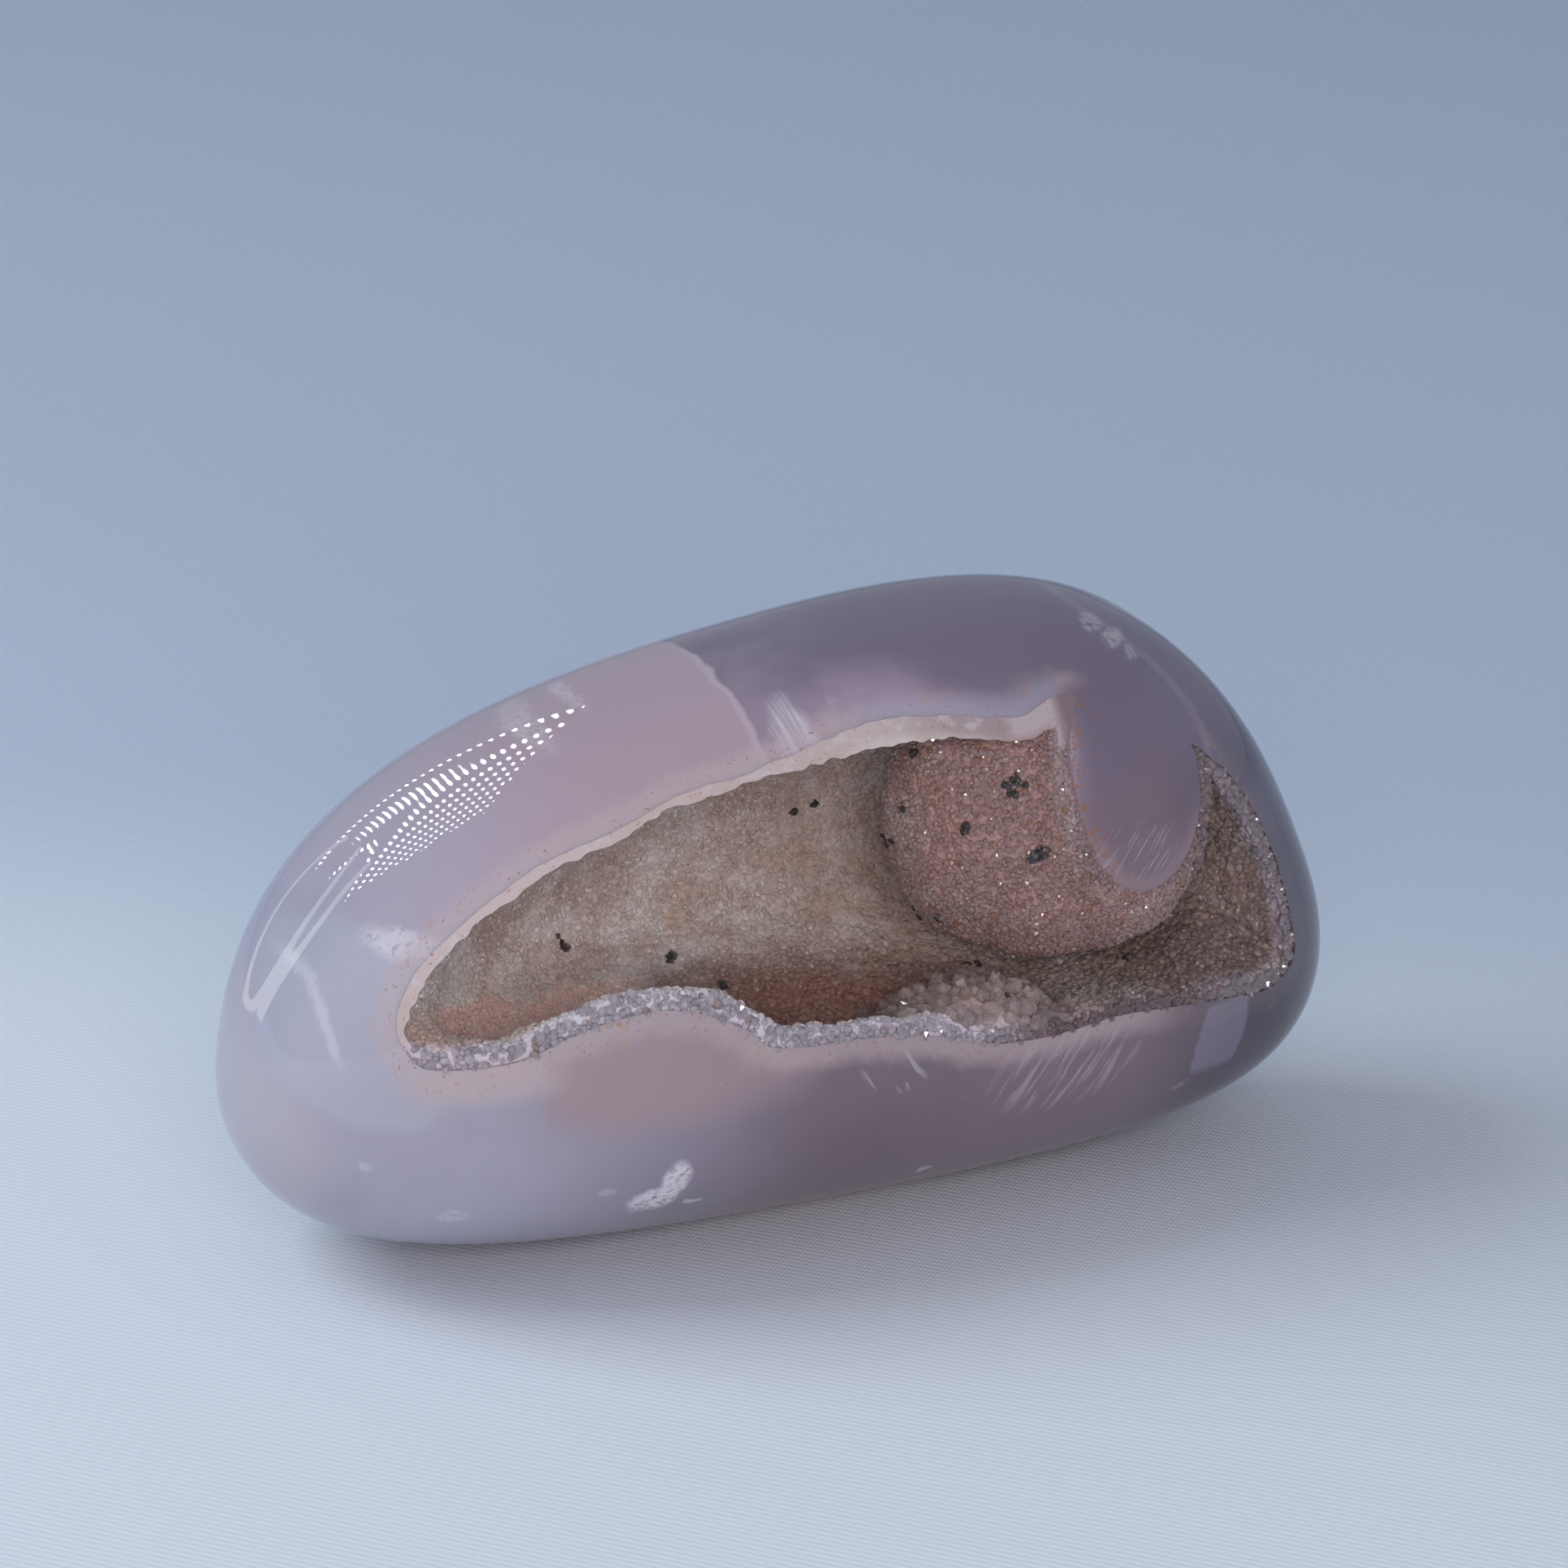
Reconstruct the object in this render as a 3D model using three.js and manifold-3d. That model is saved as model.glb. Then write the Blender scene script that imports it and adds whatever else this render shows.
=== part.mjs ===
import * as THREE from "three";
import { mergeVertices } from "three/addons/utils/BufferGeometryUtils.js";
import Module from "manifold-3d";

const wasm = await Module();
wasm.setup();

// All lengths are in millimetres. The mouth faces -Y, the taller end is at +X,
// and the origin is the point of the small flat spot below that lies under the middle of the length.

// The polished stone
const halfLength = 41.5;
const halfDepth = 19.5;
const halfHeight = 19.75;
const roundness = 2.4; // 2 is an ellipsoid, more is boxier
const depthTaper = -0.06; // thinner from front to back towards the taller end
const heightTaper = 0.14; // higher towards the taller end
const endFlare = 0.19; // higher at both ends than in the middle
const lean = 0.09; // the middle line climbs towards +X
const droop = -0.077; // both ends of the middle line bend down
const centreHeight = 22.74; // from the flat spot up to the middle of the stone

// Broad swells and hollows of the outline, by angle in the XZ plane, from +X up. The one below
// stands a little further back, under the centre of mass.
const swellReach = 7;
const swells = [
  { angle: 30, amount: -0.09 },
  { angle: 60, amount: 0.04 },
  { angle: 150, amount: -0.09 },
  { angle: 270, amount: 0.182, back: 0.09 },
  { angle: 330, amount: 0.14 },
];

// The mouth of the hollow, seen from the front as X and Z
const mouth = [
  [-32.3, 22.6],
  [-30.9, 26.2],
  [-27.8, 29.2],
  [-24.4, 31.6],
  [-20.6, 33.6],
  [-16.2, 35.0],
  [-11.6, 36.8],
  [-6.2, 37.8],
  [-1.8, 38.9],
  [4.6, 40.1],
  [9.4, 40.0],
  [14.2, 39.4],
  [18.4, 40.2],
  [22.4, 38.4],
  [26.2, 36.4],
  [29.6, 34.4],
  [32.8, 31.0],
  [36.0, 25.6],
  [38.3, 19.8],
  [39.0, 16.0],
  [36.6, 14.6],
  [31.0, 15.4],
  [25.6, 16.3],
  [20.4, 16.8],
  [15.0, 16.5],
  [10.4, 16.9],
  [5.4, 18.5],
  [-0.4, 19.3],
  [-6.8, 19.8],
  [-8.8, 21.4],
  [-11.4, 22.8],
  [-14.8, 23.6],
  [-18.2, 23.2],
  [-21.4, 22.2],
  [-24.4, 20.8],
  [-28.0, 20.2],
  [-31.2, 20.4],
];
const mouthFront = -26; // in front of the stone

// Behind the rim the hollow widens to a smooth bowl, bent down at both ends
const bowlMiddle = { x: 3.5, z: 28 };
const bowlHalfLength = 33.5;
const bowlHalfHeight = 12.5;
const bowlBend = 6;
const bowlReached = 6; // this far behind the rim
const wallStart = -12; // the walls begin to close in from here
const hollowBack = 4.8; // deepest point of the hollow
const hollowMiddle = { x: 3.5, z: 27 }; // where it is deepest
const wallFullness = 2.3; // how rounded the back wall is
const wallSteps = 46; // round the mouth
const depthSteps = 11; // from the front to the back

// The crust of crystals
const crustGap = 0.3; // clear of the agate
const crustThickness = 1.3;

// The lobe that hangs from the roof: rounded cores of agate under a coat of crystals
const lobes = [
  { at: [16.0, -8.5, 30.8], core: [7.8, 5.7, 8.9], coat: [9.3, 7.2, 10.4] },
  { at: [21.5, -9.4, 30.8], core: [8.1, 8.2, 10.0], coat: [9.1, 9.2, 11.0] },
  { at: [18.6, -9.5, 26.8], core: [6.7, 5.3, 5.6], coat: [8.2, 6.8, 7.1] },
];

// The hump of clear crystals on the lower rim
const hump = { at: [9.8, -14.6, 16.6], size: [6.6, 4.0, 3.4] };

// The larger quartz points
const pointRadius = 1.2;
const pointLength = 1.8;
const pointSink = 0.95;
const lobePoints = 44; // tried on each part of the lobe
const wallRows = 5;
const wallPoints = 18; // in each row
const humpPoints = 24;
const rimPoints = 40;

// A closed surface whose triangles share their corners
function mergedOf(geometry) {
  geometry.deleteAttribute("normal");
  geometry.deleteAttribute("uv");
  return mergeVertices(geometry, 1e-4);
}

function solidFrom(geometry) {
  const merged = mergedOf(geometry);
  const mesh = new wasm.Mesh({
    numProp: 3,
    vertProperties: new Float32Array(merged.attributes.position.array),
    triVerts: new Uint32Array(merged.index.array),
  });
  return new wasm.Manifold(mesh);
}

function geometryFrom(solid) {
  const mesh = solid.getMesh();
  const geometry = new THREE.BufferGeometry();
  geometry.setAttribute("position", new THREE.BufferAttribute(new Float32Array(mesh.vertProperties), 3));
  geometry.setIndex(new THREE.BufferAttribute(new Uint32Array(mesh.triVerts), 1));
  geometry.computeVertexNormals();
  return geometry;
}

// The same closed surface, moved inwards everywhere by an amount
function shrunk(geometry, amount) {
  const merged = mergedOf(geometry);
  merged.computeVertexNormals();
  const { position, normal } = merged.attributes;
  for (let i = 0; i < position.count; i += 1) {
    position.setXYZ(
      i,
      position.getX(i) - normal.getX(i) * amount,
      position.getY(i) - normal.getY(i) * amount,
      position.getZ(i) - normal.getZ(i) * amount,
    );
  }
  return merged;
}

// A repeatable number from 0 to 1 for each count and kind
function scatter(count, kind) {
  const value = Math.sin(count * 127.1 + kind * 311.7) * 43758.5453;
  return value - Math.floor(value);
}

// How far the polished surface reaches in a direction, before it is stretched to size
function skinReach(direction) {
  let reach = 1;
  for (const swell of swells) {
    const angle = THREE.MathUtils.degToRad(swell.angle);
    const aim = new THREE.Vector3(Math.cos(angle), swell.back ?? 0, Math.sin(angle)).normalize();
    reach += swell.amount * Math.exp(swellReach * (direction.dot(aim) - 1));
  }
  const { x, y, z } = direction;
  const powers = Math.abs(x) ** roundness + Math.abs(y) ** roundness + Math.abs(z) ** roundness;
  return reach * powers ** (-1 / roundness);
}

// The point of the polished surface that lies in a direction from the middle
function skinPoint(direction) {
  const reach = skinReach(direction);
  const t = reach * direction.x;
  const x = halfLength * t;
  const y = halfDepth * reach * direction.y * (1 + depthTaper * t);
  const level = centreHeight + lean * x + droop * x * t;
  const z = halfHeight * reach * direction.z * (1 + heightTaper * t + endFlare * t * t);
  return new THREE.Vector3(x, y, z + level);
}

// Whether a point lies inside the polished surface
function insideSkin(x, y, z) {
  const t = x / halfLength;
  const level = centreHeight + lean * x + droop * x * t;
  const scaled = new THREE.Vector3(
    t,
    y / (halfDepth * (1 + depthTaper * t)),
    (z - level) / (halfHeight * (1 + heightTaper * t + endFlare * t * t)),
  );
  return scaled.length() < skinReach(scaled.clone().normalize());
}

// The depth at which the front of the polished surface stands at a place seen from the front
function skinFront(x, z) {
  let outside = mouthFront;
  let inside = 0;
  for (let i = 0; i < 24; i += 1) {
    const middle = (outside + inside) / 2;
    if (insideSkin(x, middle, z)) {
      inside = middle;
    } else {
      outside = middle;
    }
  }
  return inside;
}

// The whole pebble with its small flat spot
function stoneSolid() {
  const geometry = new THREE.IcosahedronGeometry(1, 8);
  const position = geometry.attributes.position;
  const direction = new THREE.Vector3();
  for (let i = 0; i < position.count; i += 1) {
    direction.fromBufferAttribute(position, i).normalize();
    const point = skinPoint(direction);
    position.setXYZ(i, point.x, point.y, point.z);
  }
  const below = new THREE.BoxGeometry(3 * halfLength, 3 * halfDepth, 10);
  below.translate(0, 0, -5);
  return solidFrom(geometry).subtract(solidFrom(below));
}

const mouthCurve = new THREE.CatmullRomCurve3(
  mouth.map(([x, z]) => new THREE.Vector3(x, 0, z)),
  true,
);

// A point of the hollow's wall, from the place round the mouth and how far it lies behind the rim,
// where 1 is the deepest point
function wallPoint(around, behind) {
  const place = mouthCurve.getPointAt(((around % 1) + 1) % 1);
  const rim = skinFront(place.x, place.z);
  const y = THREE.MathUtils.lerp(rim, hollowBack, behind);
  const angle = Math.PI - 2 * Math.PI * around;
  const across = Math.cos(angle);
  const bowl = new THREE.Vector3(
    bowlMiddle.x + bowlHalfLength * across,
    0,
    bowlMiddle.z + bowlHalfHeight * Math.sin(angle) - bowlBend * across * across,
  );
  place.lerp(bowl, THREE.MathUtils.smoothstep(y - rim, 0.5, bowlReached));
  const depth = THREE.MathUtils.clamp((y - wallStart) / (hollowBack - wallStart), 0, 1);
  const closing = (1 - depth ** wallFullness) ** (1 / wallFullness);
  return new THREE.Vector3(
    THREE.MathUtils.lerp(hollowMiddle.x, place.x, closing),
    y,
    THREE.MathUtils.lerp(hollowMiddle.z, place.z, closing),
  );
}

// The space of the hollow, from in front of the stone to the back wall, smaller by an inset
function hollowSolid(inset) {
  const geometry = new THREE.SphereGeometry(1, wallSteps, depthSteps);
  const position = geometry.attributes.position;
  for (let i = 0; i < position.count; i += 1) {
    const row = Math.floor(i / (wallSteps + 1));
    const turn = 1 - (i % (wallSteps + 1)) / wallSteps;
    const behind = Math.sin(((row - 2) / (depthSteps - 2)) * (Math.PI / 2));
    const point = wallPoint(turn, Math.max(0, behind));
    if (row < 2) {
      point.y = mouthFront;
    }
    if (row === 0) {
      point.set(hollowMiddle.x, mouthFront, hollowMiddle.z);
    }
    position.setXYZ(i, point.x, point.y, point.z);
  }
  return solidFrom(shrunk(geometry, inset));
}

// A rounded lump at a place, with a half size along each axis
function ellipsoidSolid(at, size, detail) {
  const geometry = new THREE.IcosahedronGeometry(1, detail);
  geometry.scale(...size);
  geometry.translate(...at);
  return solidFrom(geometry);
}

// The lobe as one solid, from its cores grown by an amount, or from its coats
function lobeSolid(part, grow) {
  const pieces = lobes.map((lobe) => ellipsoidSolid(lobe.at, lobe[part].map((r) => r + grow), 3));
  return wasm.Manifold.union(pieces);
}

// One six-sided quartz point that stands at a place along a direction
function quartzPoint(place, direction, size, turn) {
  const length = pointLength * size;
  const geometry = new THREE.ConeGeometry(pointRadius * size, length, 6);
  geometry.translate(0, length / 2 - pointSink * size, 0);
  geometry.rotateY(turn);
  const upright = new THREE.Quaternion().setFromUnitVectors(new THREE.Vector3(0, 1, 0), direction);
  geometry.applyQuaternion(upright);
  geometry.translate(place.x, place.y, place.z);
  return solidFrom(geometry);
}

// Whether a place lies inside the coat of any part of the lobe but one
function insideCoat(point, skipped) {
  return lobes.some((lobe, i) => {
    if (i === skipped) {
      return false;
    }
    const x = (point.x - lobe.at[0]) / lobe.coat[0];
    const y = (point.y - lobe.at[1]) / lobe.coat[1];
    const z = (point.z - lobe.at[2]) / lobe.coat[2];
    return x * x + y * y + z * z < 1;
  });
}

// A direction tipped a little to one side, different for each count
function tipped(direction, count) {
  const side = new THREE.Vector3(scatter(count, 1) - 0.5, scatter(count, 2) - 0.5, scatter(count, 3) - 0.5);
  return direction.clone().addScaledVector(side, 0.7).normalize();
}

// Quartz points all over a rounded shape, spread by the golden angle
function pointsOnRound(at, size, number, kind, skipped) {
  const points = [];
  for (let i = 0; i < number; i += 1) {
    const height = 1 - (2 * (i + 0.5)) / number;
    const angle = i * 2.39996 + kind;
    const flat = Math.sqrt(1 - height * height);
    const unit = new THREE.Vector3(flat * Math.cos(angle), flat * Math.sin(angle), height);
    const place = new THREE.Vector3(...size).multiply(unit).add(new THREE.Vector3(...at));
    const normal = unit.divide(new THREE.Vector3(...size)).normalize();
    const count = i + kind * 1000;
    if (insideCoat(place, skipped)) {
      continue;
    }
    points.push(quartzPoint(place, tipped(normal, count), 0.75 + 0.5 * scatter(count, 4), count));
  }
  return points;
}

// The inner face of the crust, a little in front of the wall and towards the middle of the hollow
function crustPlace(around, behind) {
  const place = wallPoint(around, behind);
  const inwards = new THREE.Vector3(hollowMiddle.x, -8, hollowMiddle.z).sub(place);
  inwards.x *= 0.2;
  inwards.normalize();
  place.addScaledVector(inwards, crustGap + crustThickness);
  return { place, inwards };
}

// Quartz points on the walls of the hollow, in rows from the rim to the back
function pointsOnWalls() {
  const points = [];
  for (let row = 0; row < wallRows; row += 1) {
    for (let i = 0; i < wallPoints; i += 1) {
      const count = 5000 + row * wallPoints + i;
      const around = (i + (row % 2) / 2 + 0.5 * scatter(count, 5)) / wallPoints;
      const behind = (row + 0.8 + 0.6 * scatter(count, 6)) / (wallRows + 1);
      const { place, inwards } = crustPlace(around, behind);
      if (!insideCoat(place, -1)) {
        points.push(quartzPoint(place, tipped(inwards, count), 0.8 + 0.5 * scatter(count, 4), count));
      }
    }
  }
  return points;
}

// A row of small points just inside the rim
function pointsAtRim() {
  const points = [];
  for (let i = 0; i < rimPoints; i += 1) {
    const count = 9000 + i;
    const around = (i + 0.5 * scatter(count, 5)) / rimPoints;
    const { place, inwards } = crustPlace(around, 0.02 + 0.08 * scatter(count, 6));
    if (!insideCoat(place, -1)) {
      points.push(quartzPoint(place, tipped(inwards, count), 0.75 + 0.4 * scatter(count, 4), count));
    }
  }
  return points;
}

// The main piece, without the crumbs that a cut can leave
function largest(solid) {
  const parts = solid.decompose();
  parts.sort((one, other) => other.volume() - one.volume());
  return parts[0];
}

const stone = stoneSolid();
const hollow = hollowSolid(0);

// The agate: the pebble less the hollow, with the lobe left standing in it
function agateGeometry() {
  const space = hollow.subtract(lobeSolid("core", 0));
  return geometryFrom(largest(stone.subtract(space)));
}

// The crust: a shell inside the hollow and round the lobe, with its quartz points
function crustGeometry() {
  const bed = hollowSolid(crustGap).subtract(lobeSolid("core", crustGap));
  const open = hollowSolid(crustGap + crustThickness).subtract(lobeSolid("coat", 0));
  const points = [
    ...lobes.flatMap((lobe, i) => pointsOnRound(lobe.at, lobe.coat, lobePoints, i, i)),
    ...pointsOnRound(hump.at, hump.size, humpPoints, 7, -1),
    ...pointsOnWalls(),
    ...pointsAtRim(),
  ];
  const mound = ellipsoidSolid(hump.at, hump.size, 3);
  const growth = wasm.Manifold.union([mound, ...points]);
  const crust = bed.intersect(stone).subtract(open.subtract(growth));
  return geometryFrom(largest(crust));
}

const agate = new THREE.Mesh(
  agateGeometry(),
  new THREE.MeshStandardMaterial({ color: 0xa99bb0, roughness: 0.08, metalness: 0 }),
);
agate.name = "agate_stone";

const crust = new THREE.Mesh(
  crustGeometry(),
  new THREE.MeshStandardMaterial({ color: 0xb89a94, roughness: 0.35, metalness: 0 }),
);
crust.name = "druzy_crust";

const part = new THREE.Group();
part.name = "druzy_geode";
part.add(agate, crust);

export default part;
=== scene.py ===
import math

import bpy
import numpy as np
from mathutils import Matrix, Vector, noise
from mathutils.bvhtree import BVHTree
from mathutils.kdtree import KDTree


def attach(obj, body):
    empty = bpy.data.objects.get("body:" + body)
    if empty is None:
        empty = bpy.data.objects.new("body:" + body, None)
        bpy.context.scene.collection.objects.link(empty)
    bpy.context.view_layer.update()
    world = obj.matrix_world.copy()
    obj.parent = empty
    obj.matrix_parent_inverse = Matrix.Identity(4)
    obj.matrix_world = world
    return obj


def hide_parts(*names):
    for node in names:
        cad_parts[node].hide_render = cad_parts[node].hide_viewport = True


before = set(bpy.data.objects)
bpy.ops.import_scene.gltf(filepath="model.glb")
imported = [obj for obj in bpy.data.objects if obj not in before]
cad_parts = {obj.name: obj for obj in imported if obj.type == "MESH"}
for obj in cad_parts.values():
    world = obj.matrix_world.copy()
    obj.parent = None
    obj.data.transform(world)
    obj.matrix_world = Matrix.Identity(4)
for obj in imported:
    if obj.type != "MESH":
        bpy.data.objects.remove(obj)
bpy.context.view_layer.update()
print("frame loaded")

# Shapes are worked out in millimetres, in the frame's axes, and scaled to metres at the end.
# The mouth of the hollow faces -Y and the taller end is at +X.
mm = 0.001

# The outline of the polished stone, as in the part's own source
pebble = {
    "halfLength": 41.5,
    "halfDepth": 19.5,
    "halfHeight": 19.75,
    "roundness": 2.4,  # 2 is an ellipsoid, more is boxier
    "depthTaper": -0.06,
    "heightTaper": 0.14,
    "endFlare": 0.19,
    "lean": 0.09,
    "droop": -0.077,
    "centreHeight": 22.74,
    "swellReach": 7.0,
    "swells": (  # angle from +X up, amount, how far back it aims
        (30, -0.09, 0),
        (60, 0.04, 0),
        (150, -0.09, 0),
        (270, 0.182, 0.09),
        (330, 0.14, 0),
    ),
    "subdivisions": 7,
}

# The hollow: its mouth seen from the front as X and Z, and the bowl behind it
hollow = {
    "mouth": (
        (-32.3, 22.6), (-30.9, 26.2), (-27.8, 29.2), (-24.4, 31.6), (-20.6, 33.6), (-16.2, 35.0),
        (-11.6, 36.8), (-6.2, 37.8), (-1.8, 38.9), (4.6, 40.1), (9.4, 40.0), (14.2, 39.4),
        (18.4, 40.2), (22.4, 38.4), (26.2, 36.4), (29.6, 34.4), (32.8, 31.0), (36.0, 25.6),
        (38.3, 19.8), (39.0, 16.0), (36.6, 14.6), (31.0, 15.4), (25.6, 16.3), (20.4, 16.8),
        (15.0, 16.5), (10.4, 16.9), (5.4, 18.5), (-0.4, 19.3), (-6.8, 19.8), (-8.8, 21.4),
        (-11.4, 22.8), (-14.8, 23.6), (-18.2, 23.2), (-21.4, 22.2), (-24.4, 20.8), (-28.0, 20.2),
        (-31.2, 20.4),
    ),
    "front": -26.0,
    "bowlMiddle": (3.5, 28.0),
    "bowlHalfLength": 33.5,
    "bowlHalfHeight": 12.5,
    "bowlBend": 6.0,
    "bowlReached": 6.0,
    "wallStart": -12.0,
    "back": 4.8,
    "middle": (3.5, 27.0),
    "fullness": 2.3,
    "ragged": 0.22,  # how far the broken edge of the mouth wanders
    "around": 600,  # corner points round the mouth
    "lipHeight": 29.0,  # where the upper lip begins, highest at its middle, as Z
    "lipMiddle": 3.0,
    "lipBend": 0.0061,
    "lipSoft": 0.8,
}

# The lobe that hangs from the roof: cores of agate under a coat of quartz
lobes = (
    {"at": (16.0, -8.5, 30.8), "core": (7.8, 5.7, 8.9), "coat": (9.3, 7.2, 10.4)},
    {"at": (21.6, -9.4, 30.8), "core": (8.4, 8.3, 10.1), "coat": (8.9, 9.0, 10.8)},
    {"at": (18.6, -9.5, 26.8), "core": (6.7, 5.3, 5.6), "coat": (8.2, 6.8, 7.1)},
)
hump = {"at": (9.8, -14.6, 16.6), "size": (6.6, 4.0, 3.4)}  # of clear points on the lower rim


# Shapes

def smoothStep(low, high, value):
    share = np.clip((value - low) / (high - low), 0, 1)
    return share * share * (3 - 2 * share)


def wander(points, size, offset=0.0):
    # soft noise from -1 to 1, with lumps of a size
    return np.array([noise.noise(Vector(p)) for p in points / size + offset])


def skinReach(ways):
    reach = np.ones(len(ways))
    for angle, amount, back in pebble["swells"]:
        turn = math.radians(angle)
        aim = np.array((math.cos(turn), back, math.sin(turn)))
        aim /= np.linalg.norm(aim)
        reach += amount * np.exp(pebble["swellReach"] * (ways @ aim - 1))
    powers = (np.abs(ways) ** pebble["roundness"]).sum(1)
    return reach * powers ** (-1 / pebble["roundness"])


def levelAt(x):
    return pebble["centreHeight"] + pebble["lean"] * x + pebble["droop"] * x * x / pebble["halfLength"]


def stretchAt(t):
    depth = pebble["halfDepth"] * (1 + pebble["depthTaper"] * t)
    height = pebble["halfHeight"] * (1 + pebble["heightTaper"] * t + pebble["endFlare"] * t * t)
    return depth, height


def skinPoints(ways):
    reach = skinReach(ways)
    t = reach * ways[:, 0]
    depth, height = stretchAt(t)
    x = pebble["halfLength"] * t
    return np.column_stack((x, depth * reach * ways[:, 1], height * reach * ways[:, 2] + levelAt(x)))


def skinMargin(points):
    # how far inside the polished skin a point lies, as a share of the way from the middle
    t = points[:, 0] / pebble["halfLength"]
    depth, height = stretchAt(t)
    scaled = np.column_stack((t, points[:, 1] / depth, (points[:, 2] - levelAt(points[:, 0])) / height))
    length = np.linalg.norm(scaled, axis=1)
    return 1 - length / skinReach(scaled / length[:, None])


def skinFront(x, z):
    outside = np.full(len(x), hollow["front"])
    inside = np.zeros(len(x))
    for _ in range(24):
        middle = (outside + inside) / 2
        within = skinMargin(np.column_stack((x, middle, z))) > 0
        inside = np.where(within, middle, inside)
        outside = np.where(within, outside, middle)
    return inside


def mouthOutline(count):
    # a smooth closed line through the mouth's points, in even steps
    points = np.array(hollow["mouth"])
    steps = 40
    line = []
    for i in range(len(points)):
        p0, p1, p2, p3 = (points[(i + k) % len(points)] for k in (-1, 0, 1, 2))
        d0, d1, d2 = (np.linalg.norm(b - a) ** 0.5 for a, b in ((p0, p1), (p1, p2), (p2, p3)))
        m1 = ((p1 - p0) / d0 - (p2 - p0) / (d0 + d1) + (p2 - p1) / d1) * d1
        m2 = ((p2 - p1) / d1 - (p3 - p1) / (d1 + d2) + (p3 - p2) / d2) * d1
        t = np.arange(steps)[:, None] / steps
        line.append(
            p1 + m1 * t
            + (3 * (p2 - p1) - 2 * m1 - m2) * t ** 2
            + (2 * (p1 - p2) + m1 + m2) * t ** 3
        )
    line = np.vstack(line)
    closed = np.vstack((line, line[:1]))
    along = np.concatenate(([0], np.cumsum(np.linalg.norm(np.diff(closed, axis=0), axis=1))))
    wanted = np.arange(count) / count * along[-1]
    return np.column_stack([np.interp(wanted, along, closed[:, k]) for k in (0, 1)])


def faceNormals(points, faces):
    a, b, c = (points[faces[:, k]] for k in range(3))
    return np.cross(b - a, c - a)


def pointNormals(points, faces):
    normals = np.zeros_like(points)
    across = faceNormals(points, faces)
    for k in range(3):
        np.add.at(normals, faces[:, k], across)
    return normals / np.maximum(np.linalg.norm(normals, axis=1), 1e-12)[:, None]


def upperLip(x, z):
    # 1 along the upper lip of the mouth, where the crust is cut flush, 0 along the lower rim
    height = z + hollow["lipBend"] * (x - hollow["lipMiddle"]) ** 2 - hollow["lipHeight"]
    return smoothStep(-hollow["lipSoft"], hollow["lipSoft"], height) * (1 - smoothStep(25, 29, x))


def hollowSurface(inset, rows, roughness=None, thinner=0.0):
    # the closed surface of the hollow's space, from in front of the stone to the back wall,
    # moved inwards by an inset, which is less by an amount along the upper lip
    around = hollow["around"]
    outline = mouthOutline(around)
    rim3d = np.column_stack((outline[:, 0], np.zeros(around), outline[:, 1]))
    middle = np.array(hollow["middle"])
    outward = outline - outline.mean(0)
    outward /= np.linalg.norm(outward, axis=1)[:, None]
    edge = 0.6 * wander(rim3d, 2.6, 11.3) + 0.4 * wander(rim3d, 1.0, 5.1)
    outline = outline + outward * (hollow["ragged"] * edge)[:, None]
    rim = skinFront(outline[:, 0], outline[:, 1])
    angle = np.pi - 2 * np.pi * np.arange(around) / around
    bowl = np.column_stack((
        hollow["bowlMiddle"][0] + hollow["bowlHalfLength"] * np.cos(angle),
        hollow["bowlMiddle"][1] + hollow["bowlHalfHeight"] * np.sin(angle)
        - hollow["bowlBend"] * np.cos(angle) ** 2,
    ))
    rings = [np.column_stack((outline[:, 0], np.full(around, hollow["front"]), outline[:, 1]))]
    upper = upperLip(outline[:, 0], outline[:, 1])
    lip = upper * (1 - 0.85 * smoothStep(-6, 2, outline[:, 0]))
    arch = np.exp(-((outline[:, 0] + 13.5) / 6) ** 2)
    lip = lip + (1 - upper) * np.clip(0.5 + 0.7 * wander(rim3d, 2.2, 8.7), 0.1, 0.8) * (1 - 0.8 * arch)
    lip = lip * thinner
    less = [lip]
    for row in range(rows):
        behind = math.sin(row / rows * math.pi / 2)
        y = rim + (hollow["back"] - rim) * behind
        share = smoothStep(0.5, hollow["bowlReached"], y - rim)[:, None]
        place = outline + (bowl - outline) * share
        depth = np.clip((y - hollow["wallStart"]) / (hollow["back"] - hollow["wallStart"]), 0, 1)
        closing = ((1 - depth ** hollow["fullness"]) ** (1 / hollow["fullness"]))[:, None]
        place = middle + (place - middle) * closing
        rings.append(np.column_stack((place[:, 0], y, place[:, 1])))
        less.append(lip * (1 - smoothStep(1.0, 6.0, y - rim)))
    ends = np.array((
        (middle[0], hollow["front"], middle[1]),
        (middle[0], hollow["back"], middle[1]),
    ))
    points = np.vstack(rings + [ends])
    here = np.arange(around)
    after = (here + 1) % around
    faces = []
    for row in range(len(rings) - 1):
        a, b = row * around + here, row * around + after
        c, d = b + around, a + around
        faces += [np.column_stack((a, b, c)), np.column_stack((a, c, d))]
    frontEnd, backEnd = len(points) - 2, len(points) - 1
    last = (len(rings) - 1) * around
    faces.append(np.column_stack((np.full(around, frontEnd), after, here)))
    faces.append(np.column_stack((np.full(around, backEnd), last + here, last + after)))
    faces = np.vstack(faces)
    normals = pointNormals(points, faces)
    grid = normals[:-2].reshape(len(rings), around, 3)
    for _ in range(6):  # softened, so that the moved surface doesn't fold at the corners
        grid = (grid + np.roll(grid, 1, 1) + np.roll(grid, -1, 1)) / 3
    normals[:-2] = grid.reshape(-1, 3)
    normals /= np.linalg.norm(normals, axis=1)[:, None]
    shift = np.concatenate(less + [np.zeros(2)]) - inset
    if roughness:
        shift += lumps(points, roughness)
    return points + normals * shift[:, None], faces


def lumps(points, roughness):
    return sum(amount * wander(points, size, 3.7 * size) for size, amount in roughness)


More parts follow.
